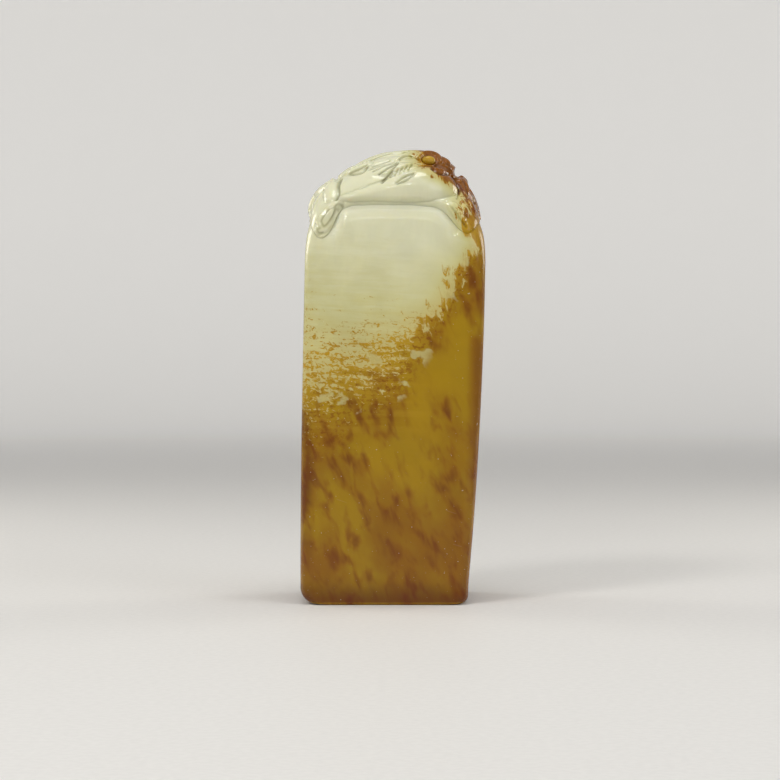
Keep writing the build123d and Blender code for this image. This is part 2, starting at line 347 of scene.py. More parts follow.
def jade_colour_group():
    """The jade's colour by place, in millimetres. A slanting line parts the pale body above from
    the skin below; across a band about it, flecks of skin grow denser until they close up."""
    n, inside, out = new_group(
        "jade_colour", {**dict.fromkeys(COLOUR_WORDS, "Color"), "Place": "Vector"},
        {"Colour": "Color", "Skin": "Float"})
    tint = inside.outputs
    place = tint["Place"]
    parts = n.add("ShaderNodeSeparateXYZ")
    n.link(place, parts.inputs[0])
    x, y, z = (n.times(part, 1 / MM) for part in parts.outputs)

    # The line rises to the right, slowly and then faster; the band about it narrows to the right
    past = n.math("MAXIMUM", n.math("ADD", x, 2.0), 0.0)
    line = n.scaled(n.times(past, past), 0.055, n.scaled(x, 0.27, 43.4))
    line = n.scaled(y, -0.13, line)
    band = n.math("MAXIMUM", n.scaled(x, -0.2, 4.8), 1.9)
    slow = n.math("SUBTRACT", n.noise(place, 70.0, (1, 1, 1.3), 3.0), 0.5)
    streak = n.math("SUBTRACT", n.noise(place, 120.0, (1, 1, 8.5), 4.0, 0.6, 0.3, 0.05), 0.5)
    above = n.scaled(slow, 2.2, n.math("DIVIDE", n.math("SUBTRACT", z, line), band))
    above = n.math("ADD", above, n.times(streak, n.spread(x, 10.0, -2.0, 0.3, 2.6)))

    # The right side is skin all the way up, and further in over the head
    edge = n.math("ADD", n.spread(z, 71.0, 77.5, 12.4, 4.6), n.spread(z, 66.0, 61.5, 0.0, 2.4))
    beside = n.scaled(slow, 3.0, n.math("SUBTRACT", edge, x))
    above = n.math("MINIMUM", above, beside)

    # Flecks: level ones on the left, upright ones on the right, the more the lower
    fine_fleck = n.noise(place, 1500.0, (0.75, 1, 1.15), 4.0, 0.62, 0.9, 0.25)
    level_fleck = n.noise(place, 520.0, (0.6, 1, 2.4), 5.0, 0.6, 0.4)
    level_fleck = n.scaled(fine_fleck, 0.66, n.times(level_fleck, 0.34))
    upright_fleck = n.noise(place, 560.0, (1.3, 1.2, 0.5), 6.0, 0.66, 0.9, -0.2)
    fleck = n.math("ADD", n.times(level_fleck, n.spread(x, 8.0, 1.0)),
                   n.times(upright_fleck, n.spread(x, 1.0, 8.0)))
    over = n.math("SUBTRACT", fleck, n.scaled(above, 0.085, 0.5))
    skin = n.times(n.spread(over, -0.04, 0.045), n.spread(above, 2.8, 1.6))
    colour = n.mix(n.spread(above, 4.5, 0.6), tint["White"], tint["Cream"])
    colour = n.mix(n.spread(above, 1.9, -0.7, 0.0, 0.38), colour, tint["Ochre"])
    stained = n.mix(n.spread(above, 0.4, -1.6), tint["Ochre"], tint["Honey"])
    colour = n.mix(skin, colour, stained)
    fine = n.noise(place, 1100.0, (0.9, 1, 1.1), 4.0, 0.6)
    near = n.times(n.spread(above, 1.4, 0.2), n.spread(above, -2.6, -1.0))
    crisp = n.times(n.spread(over, 0.06, 0.13), n.spread(fine, 0.46, 0.6), near, 0.75)

    # In the skin: slow changes of depth, level stripes, soft leaning mottles, a few of them dark,
    # and pale islands
    deep = n.noise(place, 95.0, (1, 1, 0.7), 3.0, 0.5, 0.0, -0.3)
    stripe = n.spread(n.noise(place, 150.0, (0.35, 1, 6), 3.0, 0.5, 0.2, 0.04), 0.45, 0.65)
    stripe = n.times(stripe, skin, n.spread(z, 26.0, 34.0), n.spread(x, 9.0, -1.0), 0.4)
    mottle = n.noise(place, 430.0, (1.15, 1, 0.5), 2.0, 0.5, 0.3, -0.33)
    crowd = n.spread(n.math("ADD", deep, n.spread(x, 12.0, -14.0, -0.06, 0.1)), 0.28, 0.54)
    crowd = n.times(crowd, n.spread(above, 0.1, -1.8), skin)
    island = n.spread(n.noise(place, 240.0, (0.9, 1, 1.1), 3.0), 0.61, 0.66)
    island = n.times(island, n.spread(above, -2.6, -1.4), skin, n.spread(z, 30.0, 34.0), 0.6)

    # Dark patches low on the left edge, a red band up the right edge, and a dark foot with a painted
    # highlight: a paler line along the bottom bevel
    patch = n.noise(place, 130.0, (1, 1, 0.6), 3.0, 0.55)
    left = n.times(n.spread(x, -13.0, -15.4), n.spread(z, 39.0, 30.0),
                   n.spread(patch, 0.4, 0.66), 0.8)
    right = n.times(n.spread(x, 12.4, 14.6), n.spread(z, 13.0, 24.0), n.spread(z, 57.0, 50.0),
                    n.spread(patch, 0.3, 0.5), 0.72)
    low = n.times(n.spread(z, 34.0, 2.0), n.spread(deep, 0.34, 0.62, 0.1, 0.5))
    # The dark foot eases off below 0.6 mm, which paints a paler highlight line along the bottom bevel
    foot_and_bevel_highlight = n.times(n.spread(z, 5.6, 0.6), n.spread(z, 0.35, 0.6, 0.35, 1.0), 0.74)

    # The skin on the crown is russet, over gold, with dark embers
    crown = n.math("ADD", upright_fleck, n.spread(beside, 1.0, -3.5, 0.0, 0.25))
    crown = n.times(n.spread(z, 65.0, 70.0), skin, n.spread(crown, 0.45, 0.66))
    ember = n.spread(n.noise(place, 360.0, (1, 1, 0.7), 4.0, 0.55, 0.4), 0.52, 0.66)

    # Each layer lies over those before it
    for share, word in (
        (crisp, "Brown"),
        (n.times(n.spread(deep, 0.42, 0.68), skin, 0.42), "Brown"),
        (stripe, "Ochre"),
        (n.times(n.spread(mottle, 0.43, 0.69), crowd, 0.68), "Brown"),
        (n.times(n.spread(mottle, 0.55, 0.77), crowd, 0.45), "Umber"),
        (island, "Cream"),
        (left, "Umber"),
        (right, "Brown"),
        (low, "Brown"),
        (foot_and_bevel_highlight, "Umber"),
        (n.times(n.spread(z, 60.0, 64.0), skin, 0.5), "Ochre"),
        (n.times(crown, 0.95), "Russet"),
        (n.times(ember, crown, 0.7), "Umber"),
    ):
        colour = n.mix(share, colour, tint[word])

    # Slow clouds and small pale specks in the whole stone
    cloud = n.noise(place, 110.0, (1, 1, 0.8), 5.0, 0.6, 0.5)
    shade = n.add("ShaderNodeHueSaturation")
    n.put(shade.inputs["Value"], n.spread(cloud, 0.3, 0.7, 0.95, 1.05))
    n.link(colour, shade.inputs["Color"])
    speck = n.spread(n.noise(place, 2600.0, detail=1.0), 0.75, 0.79, 0.0, 0.5)
    n.link(n.mix(speck, shade.outputs[0], tint["White"]), out.inputs["Colour"])
    n.link(skin, out.inputs["Skin"])
    return n.tree


def polish_group():
    """A stone's polish: roughness that varies softly, and a height of faint ripples left by the
    wheel, of short fine scratches, of the pits in the skin, and of strokes where it is worked."""
    n, inside, out = new_group(
        "stone_polish",
        {"Place": "Vector", "Skin": "Float", "Worked": "Float", "Smoothness": "Float"},
        {"Roughness": "Float", "Height": "Float"})
    place, skinned, worked_and_highlight, smoothness = inside.outputs[:4]
    wave = n.noise(place, 140.0, detail=2.0)
    grain = n.noise(place, 1500.0, detail=3.0, rough=0.6)
    scratches = n.spread(n.noise(place, 900.0, (0.08, 1, 1), 2.0, 0.5, 0.0, 0.35), 0.62, 0.75)
    pits = n.times(n.spread(grain, 0.64, 0.74), skinned)
    stroke = n.times(n.noise(place, 2100.0, (0.045, 0.4, 1), 3.0, 0.6, 0.2, 0.03), worked_and_highlight)
    rough = n.scaled(n.math("SUBTRACT", wave, 0.5), 0.12, smoothness)
    height = n.scaled(wave, 1.0, n.times(grain, 0.03))
    for share, rougher, higher in (
        (scratches, 0.1, -0.05), (pits, 0.2, -0.12), (worked_and_highlight, 0.16, 0.0), (stroke, 0.0, 1.3),
    ):
        rough = n.scaled(share, rougher, rough)
        height = n.scaled(share, higher, height)
    n.link(rough, out.inputs["Roughness"])
    n.link(height, out.inputs["Height"])
    return n.tree


def jade(name, smoothness=0.17, coat=0.16, golden=False):
    """Polished nephrite: colour by place, a soft glow from under the surface, a clear polish,
    painted shade that darkens and deepens the colour in the grooves, the lines and along the seam,
    and a worked lip painted paler, partly scratched stone and partly a painted highlight. A golden
    piece of the crown has ochre where the rest is russet."""
    if name in bpy.data.materials:
        return bpy.data.materials[name]
    if not GROUPS:
        GROUPS.update(colour=jade_colour_group(), polish=polish_group())
    material, shader, n = new_material(name)
    place = n.add("ShaderNodeTexCoord").outputs["Object"]
    tint = n.add("ShaderNodeGroup", node_tree=GROUPS["colour"])
    for word in COLOUR_WORDS:
        tint.inputs[word].default_value = getattr(colours(), word.lower())
    if golden:
        tint.inputs["Russet"].default_value = colours().ochre
        tint.inputs["Umber"].default_value = colours().honey
    n.link(place, tint.inputs["Place"])
    polish = n.add("ShaderNodeGroup", node_tree=GROUPS["polish"])
    n.link(place, polish.inputs["Place"])
    n.link(tint.outputs["Skin"], polish.inputs["Skin"])
    polish.inputs["Smoothness"].default_value = smoothness
    worked_and_highlight, groove_and_shade = (n.add("ShaderNodeAttribute", attribute_name=word).outputs["Fac"]
                      for word in ("worked_and_highlight", "groove_and_shade"))
    n.link(worked_and_highlight, polish.inputs["Worked"])
    # Painted shade darkens and deepens the colour in the grooves, the lines and along the seam; the
    # worked lip is painted paler, partly scratched stone and partly a painted highlight
    shade = n.add("ShaderNodeHueSaturation")
    n.put(shade.inputs["Value"], n.scaled(groove_and_shade, -0.5, n.scaled(worked_and_highlight, 0.07, 1.0)))
    n.put(shade.inputs["Saturation"], n.scaled(groove_and_shade, 0.35, n.scaled(worked_and_highlight, -0.2, 1.0)))
    n.link(tint.outputs["Colour"], shade.inputs["Color"])
    n.link(shade.outputs[0], shader.inputs["Base Color"])
    n.link(polish.outputs["Roughness"], shader.inputs["Roughness"])
    bump = n.add("ShaderNodeBump")
    bump.inputs["Strength"].default_value = 0.35
    bump.inputs["Distance"].default_value = 0.0004
    n.link(polish.outputs["Height"], bump.inputs["Height"])
    n.link(bump.outputs[0], shader.inputs["Normal"])
    # The skin takes a duller polish than the pale body
    n.link(n.scaled(tint.outputs["Skin"], -0.8 * coat, coat), shader.inputs["Coat Weight"])
    for word, value in (
        ("IOR", 1.61), ("Specular IOR Level", 0.2), ("Coat Roughness", 0.06),
        ("Subsurface Weight", 0.28), ("Subsurface Radius", (1.0, 0.8, 0.4)),
        ("Subsurface Scale", 0.0016),
    ):
        shader.inputs[word].default_value = value
    return material


# The stone's skin: its shaft by height, and its crown and dome by level

OUTLINE = np.array([
    # height, left, right
    (0.0, -16.38, 13.15), (8.0, -16.4, 13.85), (18.0, -16.33, 14.65), (29.0, -16.2, 15.3),
    (40.0, -16.0, 15.82), (50.0, -15.8, 16.18), (60.0, -15.58, 16.38),
])
HALF_DEPTH = 11.98
EDGE_ROUND = 2.2
FOOT_ROUND_LEFT = 3.2
FOOT_ROUND_RIGHT = 1.6
FOOT_BEVEL = 0.45
SHOULDER = 60.0
TOP = (1.45, 79.1)
INSIDE = (TOP[0], 0, 66.0)  # a place well inside the stone, under its top
SKIN = np.array([
    # left and its height, right and its height, half depth and its height, corner, roundness
    (-15.58, 60.0, 16.38, 60.0, 11.98, 60.0, 2.2, 0.0),
    (-15.43, 62.2, 16.25, 62.2, 11.98, 62.2, 2.7, 0.0),
    (-15.2, 64.3, 16.0, 64.3, 11.97, 64.4, 3.5, 0.0),
    (-14.92, 66.2, 15.65, 66.2, 11.93, 66.5, 4.6, 0.04),
    (-14.62, 68.0, 15.2, 68.0, 11.82, 68.4, 5.6, 0.1),
    (-14.25, 69.8, 14.6, 69.8, 11.4, 70.2, 6.6, 0.18),
    (-13.5, 71.5, 13.9, 71.6, 10.8, 71.9, 7.4, 0.3),
    (-12.3, 73.0, 13.0, 73.3, 10.0, 73.5, 7.7, 0.45),
    (-10.8, 74.3, 11.7, 74.8, 9.0, 75.0, 7.8, 0.6),
    (-8.9, 75.5, 10.1, 76.1, 7.8, 76.3, 7.4, 0.75),
    (-6.8, 76.7, 8.3, 77.25, 6.3, 77.45, 6.3, 0.88),
    (-4.2, 77.85, 6.4, 78.2, 4.55, 78.35, 4.4, 1.0),
    (-1.3, 78.75, 4.0, 78.9, 2.2, 78.9, 2.2, 1.0),
    (TOP[0], TOP[1], TOP[0], TOP[1], 0.0, TOP[1], 0.0, 1.0),
])
SKIN_LEVELS = np.arange(len(SKIN))

# Where the stone's own face ends and the carving begins, by x on the front and the back
RIM = np.array([
    (-16.5, 69.4), (-15.3, 68.0), (-14.4, 65.8), (-13.6, 64.4), (-12.6, 63.9), (-11.5, 64.3),
    (-10.6, 65.5), (-9.7, 67.3), (-8.8, 68.7), (-7.4, 69.5), (-5.0, 69.7), (0.0, 69.75),
    (5.0, 69.6), (7.8, 69.1), (9.4, 67.9), (10.8, 66.2), (12.0, 65.1), (13.2, 64.8), (14.2, 65.4),
    (15.2, 66.5), (16.5, 67.4),
])
LIP_REACH = 2.9  # how far below the rim the face begins to roll over
COVE_REACH = 1.4  # how far above the rim the cove runs out
SEAM = 0.06  # how far below the beast's edge the stone's own edge lies
GROUND_MARGIN = 0.31  # how far the sunk ground reaches past the fret's own outline
GROUND_ROUND = 0.3
STONE_COLUMNS = (110, 70, 44)  # on a long side, on a short side, on a corner
BEAST_COLUMNS = (112, 60, 60)
BEAST_ROWS = 168
CLOSING_ROWS = 4  # the beast's rows below its seam, which close it inside the stone


def ring_columns(long_count, short_count, arc_count):
    """The columns round a rounded rectangle, as angles: evenly spaced on its sides and arcs at
    the rim, and each at its own share of the width and of the depth at every other height."""
    half, half_depth, corner = 14.6, 11.6, 6.0
    inner = np.array([half - corner, half_depth - corner])
    centres = inner * [(-1, -1), (1, -1), (1, 1), (-1, 1), (-1, -1)]
    places = []
    for quarter, count in enumerate((long_count, short_count, long_count, short_count)):
        start, end = centres[quarter], centres[quarter + 1]
        side = start + (end - start) * np.linspace(0, 1, count, endpoint=False)[:, None]
        turn = np.radians(90 * quarter - 90 + np.linspace(0, 90, arc_count, endpoint=False))
        facing = np.stack([np.cos(turn), np.sin(turn)], -1)
        places += [side + facing[0] * corner, end + facing * corner]
    places = np.vstack(places)
    return np.arctan2(places[:, 1] / half_depth, places[:, 0] / half)


def ring(columns, left, right, half_depth, corner, bow=0.0):
    """A rounded rectangle between left and right, its four sides bowed out a little. Each column's
    ray from the middle meets a flat side, or an arc where |t ray - centre| = corner."""
    half = (right - left) / 2
    along, aside = np.abs(np.cos(columns)) * half, np.abs(np.sin(columns)) * half_depth
    to_end = half / np.maximum(along, 1e-9)
    to_face = half_depth / np.maximum(aside, 1e-9)
    centre_x, centre_y = half - corner, half_depth - corner
    square = along**2 + aside**2
    cross = along * centre_x + aside * centre_y
    rest = centre_x**2 + centre_y**2 - corner**2
    to_arc = (cross + np.sqrt(np.clip(cross**2 - square * rest, 0, None))) / np.maximum(square, 1e-12)
    reach = np.where(to_end * aside <= centre_y, to_end,
                     np.where(to_face * along <= centre_x, to_face, to_arc))
    x, y = np.sign(np.cos(columns)) * along * reach, np.sign(np.sin(columns)) * aside * reach
    across, depth = x / np.maximum(half, 1e-6), y / np.maximum(half_depth, 1e-6)
    x_bow = np.sign(x) * bow * depth**2 * np.abs(across)
    y_bow = np.sign(y) * bow * across**2 * np.abs(depth)
    return (left + right) / 2 + x - x_bow, y - y_bow


def skin(columns, level):
    """The crown and the dome: a rounded rectangle that turns into an ellipse by its roundness,
    with one height at its ends and another at its front and back."""
    table = through(SKIN_LEVELS, SKIN, level)
    left, left_z, right, right_z, half_depth, front_z, corner, round_share = np.moveaxis(
        table, -1, 0)
    half = (right - left) / 2
    middle = (left + right) / 2
    bow = sizes().face_bow / MM * np.clip(1 - level / 5, 0, 1)
    x, y = ring(columns, left, right, half_depth, corner, bow)
    x = x + (middle + half * np.cos(columns) - x) * round_share
    y = y + (half_depth * np.sin(columns) - y) * round_share
    on_right = smooth_step(-0.4, 0.4, np.cos(columns))
    end_z = left_z + (right_z - left_z) * on_right
    z = end_z + (front_z - end_z) * smooth_step(0.15, 0.85, np.sin(columns) ** 2)
    return np.stack([x, y, z], -1)


def rim_height(point):
    """The height of the line between face and carving: the RIM table on the front and the back,
    and higher in the middle of each end."""
    x, y = point[..., 0], np.abs(point[..., 1])
    end = smooth_step(11.5, 14.0, np.abs(x)) * (1 - smooth_step(3.0, 8.5, y))
    lift = sizes().ledge_height / MM - LEDGE
    return through(RIM[:, 0], RIM[:, 1], x) + lift + 0.3 * end


def rim_level(columns, drop):
    """The skin level of each column's rim, less drop millimetres, found by repeated steps."""
    level = np.full(columns.shape, 4.0)
    for _ in range(30):
        point = skin(columns, level)
        level = np.clip(level + 0.4 * (rim_height(point) - drop - point[..., 2]), 1.0, 8.0)
    return level


def lip_fall(point):
    """How far the skin falls back near the rim. Below it, within LIP_REACH, the fall is a
    parabola, which rolls the face over; above it a smooth step makes a shallow cove."""
    x, y = point[..., 0], np.abs(point[..., 1])
    step = 0.2
    heights = [through(RIM[:, 0], RIM[:, 1], x + way * step) for way in (-1, 1)]
    slope = (heights[1] - heights[0]) / (2 * step)
    away = (rim_height(point) - point[..., 2]) / np.sqrt(1 + slope**2)
    face = np.clip(1 - away / LIP_REACH, 0, 1)
    cove = np.clip(1 + away / COVE_REACH, 0, 1)
    fall = np.where(away > 0, face**2, cove**2 * (3 - 2 * cove))
    wide = smooth_step(-12.8, -9.0, x) * (1 - smooth_step(9.5, 12.6, x)) * smooth_step(5.0, 9.5, y)
    return sizes().lip_fall / MM * (0.12 + 0.88 * wide) * fall


def inward(ring_points):
    """Level unit directions square to a ring of points, towards its middle."""
    tangent = np.roll(ring_points, -1, 0) - np.roll(ring_points, 1, 0)
    square = unit(np.stack([-tangent[:, 1], tangent[:, 0]], -1))
    to_middle = ring_points[:, :2].mean(0) - ring_points[:, :2]
    square *= np.sign(np.sum(square * to_middle, -1, keepdims=True))
    return np.hstack([square, np.zeros((len(square), 1))])


def foot_round(radius, z):
    """How far a quarter round at the foot falls back at a height."""
    return radius - np.sqrt(radius**2 - np.clip(radius - z, 0, None) ** 2)


def shaft_sides(z):
    """The left, the right and the half depth of the shaft at a height."""
    left, right = through(OUTLINE[:, 0], OUTLINE[:, 1:], z)
    return (left + foot_round(FOOT_ROUND_LEFT, z), right - foot_round(FOOT_ROUND_RIGHT, z),
            HALF_DEPTH - foot_round(FOOT_BEVEL, z))


def stone_grid():
    """Rings of a rounded rectangle, from the middle of the sunk ground out over the border and the
    foot, up the leaning sides and the rounding crown, over the lip and in under the beast."""
    columns = ring_columns(*STONE_COLUMNS)
    bow = sizes().face_bow / MM
    fret_low, fret_high = (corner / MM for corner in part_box("seal_fret"))
    recess = fret_high.z
    rows = []

    def add(left, right, half_depth, corner, z, bowed=0.0):
        x, y = ring(columns, left, right, half_depth, corner, bowed)
        rows.append(np.stack([x, y, np.broadcast_to(z, x.shape)], -1))

    # The ground and its wall
    ground_left, ground_right = fret_low.x - GROUND_MARGIN, fret_high.x + GROUND_MARGIN
    ground_half = fret_high.y + GROUND_MARGIN
    middle = (ground_left + ground_right) / 2
    for share in (1e-4, 0.35, 0.7, 0.93, 1.0):
        add(middle + (ground_left - middle) * share, middle + (ground_right - middle) * share,
            ground_half * share, GROUND_ROUND * share, recess)
    for share in (0.06, 0.5, 0.94):
        add(ground_left, ground_right, ground_half, GROUND_ROUND, recess * (1 - share))

    # The border, then the foot's rounding and the sides
    left, right, depth = shaft_sides(0.0)
    ground = np.array([ground_left, ground_right, ground_half, GROUND_ROUND])
    for share in (0.0, 0.03, 0.3, 0.65, 0.95):
        add(*ground + (np.array([left, right, depth, EDGE_ROUND]) - ground) * share, 0.0)
    quarter = np.linspace(0, np.pi / 2, 24)
    for z in np.concatenate([FOOT_ROUND_LEFT * (1 - np.cos(quarter)),
                             np.linspace(4.5, SHOULDER, 30)]):
        left, right, depth = shaft_sides(z)
        add(left, right, depth, EDGE_ROUND, z, bow * smooth_step(0.0, 4.0, z))

    # The crown up to the rim, falling back to it in a lip, and in under the beast
    last_level = rim_level(columns, SEAM)
    worn_and_highlight = [np.zeros(len(columns))] * len(rows)
    for share in np.linspace(0, 1, 58)[1:]:
        point = skin(columns, last_level * share)
        fall = lip_fall(point)
        rows.append(point + inward(point) * fall[:, None])
        # The lip's worked share: rougher and scratched, and painted paler in the material as a
        # highlight band
        worn_and_highlight.append(smooth_step(0.0, 0.8, fall * MM / sizes().lip_fall))
    edge = rows[-1]
    inner = inward(edge)
    for reach, rise in (
        (0.3, 0.55), (0.7, 0.85), (1.4, 1.0), (4.0, 0.4), (10.0, -2.0), (30.0, -6.0),
    ):
        point = edge + inner * reach * SEAM
        point[:, 2] += rise * SEAM
        rows.append(point)
    last = rows[-1]
    for share in (0.4, 0.8, 1.0):
        rows.append(last + (np.array([0.5, 0, 63.0]) - last) * share)
    worn_and_highlight += [worn_and_highlight[-1]] * (len(rows) - len(worn_and_highlight))
    return np.stack(rows), np.stack(worn_and_highlight)


# The beast: the dome, the forms raised on it and the lines cut in it

# Views that the forms are drawn in: the two axes of the drawing, and the test for the skin there
VIEWS = {
    "front": ((0, 2), lambda grid: grid[..., 1] < 0),
    "back": ((0, 2), lambda grid: grid[..., 1] > 0),
    "top": ((0, 1), lambda grid: grid[..., 2] > 70.0),
    "left": ((1, 2), lambda grid: grid[..., 0] < -6.0),
    "right": ((1, 2), lambda grid: grid[..., 0] > 8.0),
}

# Main forms on both faces, in the front view: x, height, half width and rise
FORMS = {
    "haunch": [
        (9.9, 73.4, 2.0, 0.8), (8.4, 73.8, 3.2, 1.4), (6.6, 73.9, 3.8, 1.75),
        (4.4, 73.6, 3.6, 1.75), (2.0, 73.0, 2.9, 1.55), (-0.8, 72.4, 2.1, 1.3),
        (-3.6, 71.9, 1.5, 1.0), (-6.2, 71.4, 1.05, 0.75), (-8.8, 70.9, 0.6, 0.4)],
    "paw": [
        (-12.9, 65.4, 0.9, 0.5), (-12.2, 66.4, 1.5, 0.8), (-11.2, 67.6, 1.75, 0.9),
        (-10.2, 68.9, 1.45, 0.75), (-9.4, 70.0, 0.8, 0.45)],
    "knee": [
        (-9.9, 75.0, 0.6, 0.4), (-10.6, 73.8, 1.3, 0.75), (-11.0, 72.3, 1.5, 0.8),
        (-11.0, 71.0, 1.1, 0.5)],
    "shin_band": [
        (-10.4, 75.2, 0.35, 0.3), (-11.9, 74.2, 0.6, 0.6), (-13.1, 72.7, 0.75, 0.75),
        (-14.0, 71.0, 0.85, 0.8), (-14.5, 69.4, 0.8, 0.7), (-14.5, 68.2, 0.4, 0.35)],
    "leaf": [
        (-9.1, 75.1, 0.45, 0.4), (-7.7, 75.6, 1.1, 0.65), (-6.0, 76.2, 1.5, 0.75),
        (-4.6, 76.9, 1.1, 0.55), (-3.9, 77.6, 0.3, 0.2)],
    "mane_fan": [
        (4.2, 76.6, 0.8, 0.3), (2.0, 76.4, 1.5, 0.5), (-0.6, 75.8, 1.5, 0.45),
        (-2.6, 75.4, 0.8, 0.25)],
    "shoulder_tip": [
        (11.6, 75.5, 0.35, 0.6), (12.1, 74.6, 0.7, 1.0), (12.6, 73.2, 0.9, 0.9),
        (12.8, 71.6, 0.7, 0.5)],
    "grip_band": [
        (13.6, 73.6, 0.5, 0.5), (14.3, 71.8, 0.8, 0.65), (14.8, 69.8, 0.9, 0.65),
        (15.2, 67.8, 0.6, 0.4)],
    "facet": [(9.8, 70.0, 0.6, 0.4), (10.9, 68.9, 1.3, 0.65), (11.8, 67.2, 0.9, 0.5)],
}
# Main forms over the top and the ends, across both faces
TOP_FORMS = {
    "head": [(3.4, 0, 3.4, 0.45), (4.6, 0, 4.5, 1.0), (6.4, 0, 4.9, 1.35), (8.0, 0, 4.5, 1.4),
             (9.0, 0, 3.6, 1.2), (9.7, 0, 2.7, 0.8)],
    "crest": [(-5.5, 0, 2.0, 0.6), (-3.6, 0, 3.0, 0.75), (-1.2, 0, 3.6, 0.8),
              (1.6, 0, 3.9, 0.75), (3.6, 0, 3.4, 0.5)],
    "tail": [(-8.6, 0, 1.7, 0.5), (-7.4, 0, 2.1, 0.6), (-6.4, 0, 1.6, 0.4)],
    "nape": [(11.9, -3.5, 0.7, 0.6), (12.2, 0, 0.9, 0.8), (11.9, 3.5, 0.7, 0.6)],
}
END_FORMS = {
    "left": [(-5.5, 73.4, 0.8, 0.5), (-2.5, 72.9, 1.4, 0.75), (0, 72.3, 1.7, 0.8),
             (2.5, 72.9, 1.4, 0.75), (5.5, 73.4, 0.8, 0.5)],
    "right": [(-5.6, 72.2, 1.0, 0.5), (-2.5, 71.0, 1.5, 0.6), (0, 70.4, 1.7, 0.55),
              (2.5, 71.0, 1.5, 0.6), (5.6, 72.2, 1.0, 0.5)],
}
# Notches cut across the top: behind the muzzle, and between the tail and the knees
NOTCHES = [
    [(10.3, -6.2, 0.5, 0.3), (10.9, -3.2, 0.75, 0.8), (11.0, 0, 0.8, 0.95), (10.9, 3.2, 0.75, 0.8),
     (10.3, 6.2, 0.5, 0.3)],
    [(-9.6, -5.6, 0.4, 0.3), (-9.9, -2.8, 0.5, 0.5), (-10.0, 0, 0.55, 0.6), (-9.9, 2.8, 0.5, 0.5),
     (-9.6, 5.6, 0.4, 0.3)],
]

# Details on the forms, in the front view: x, height, half width and rise
DETAILS = [
    [(4.3, 78.3, 0.35, 0.25), (5.2, 79.1, 0.5, 0.45), (6.8, 79.3, 0.55, 0.5),
     (8.1, 78.7, 0.5, 0.45), (8.5, 77.6, 0.35, 0.3)],
    [(8.8, 78.5, 0.5, 0.3), (9.5, 77.8, 0.75, 0.5), (9.8, 76.9, 0.7, 0.45)],
    [(7.4, 76.2, 0.6, 0.3), (8.5, 75.9, 0.75, 0.4), (9.6, 75.6, 0.6, 0.35)],
    [(0.5, 77.8, 0.25, 0.2), (1.6, 78.2, 0.7, 0.5), (2.8, 78.4, 0.75, 0.5), (3.9, 78.4, 0.3, 0.25)],
    [(3.4, 77.1, 0.45, 0.3), (1.0, 76.4, 0.55, 0.35), (-1.2, 75.5, 0.35, 0.25),
     (-2.4, 75.0, 0.12, 0.1)],
    [(3.8, 76.3, 0.4, 0.25), (1.8, 75.6, 0.55, 0.35), (0.2, 75.0, 0.35, 0.2),
     (-0.6, 74.7, 0.12, 0.1)],
    [(3.9, 75.5, 0.35, 0.2), (2.4, 75.0, 0.45, 0.25), (0.8, 74.4, 0.15, 0.12)],
    [(-9.0, 75.0, 0.16, 0.25), (-7.4, 76.2, 0.18, 0.25), (-5.4, 77.2, 0.18, 0.25),
     (-4.0, 77.7, 0.16, 0.2)],
    [(-12.8, 65.1, 0.16, 0.2), (-13.3, 66.4, 0.18, 0.25), (-12.6, 67.8, 0.18, 0.25),
     (-11.2, 69.5, 0.18, 0.25), (-9.9, 70.4, 0.16, 0.2)],
    [(-13.9, 68.4, 0.16, 0.2), (-13.4, 70.2, 0.2, 0.25), (-12.5, 72.0, 0.2, 0.25),
     (-11.2, 73.9, 0.16, 0.2)],
]
# The claws of each front paw, as details are drawn
CLAWS = [
    [(11.9, 71.0, 0.5, 0.35), (12.2, 69.9, 0.62, 0.6), (12.7, 68.6, 0.55, 0.55),
     (13.2, 67.5, 0.3, 0.25)],
    [(13.2, 71.2, 0.5, 0.35), (13.6, 70.0, 0.65, 0.6), (14.1, 68.6, 0.55, 0.55),
     (14.5, 67.4, 0.3, 0.25)],
]
EYE = (6.35, 77.85)
EYE_RADII = (1.2, 0.75, 0.85)

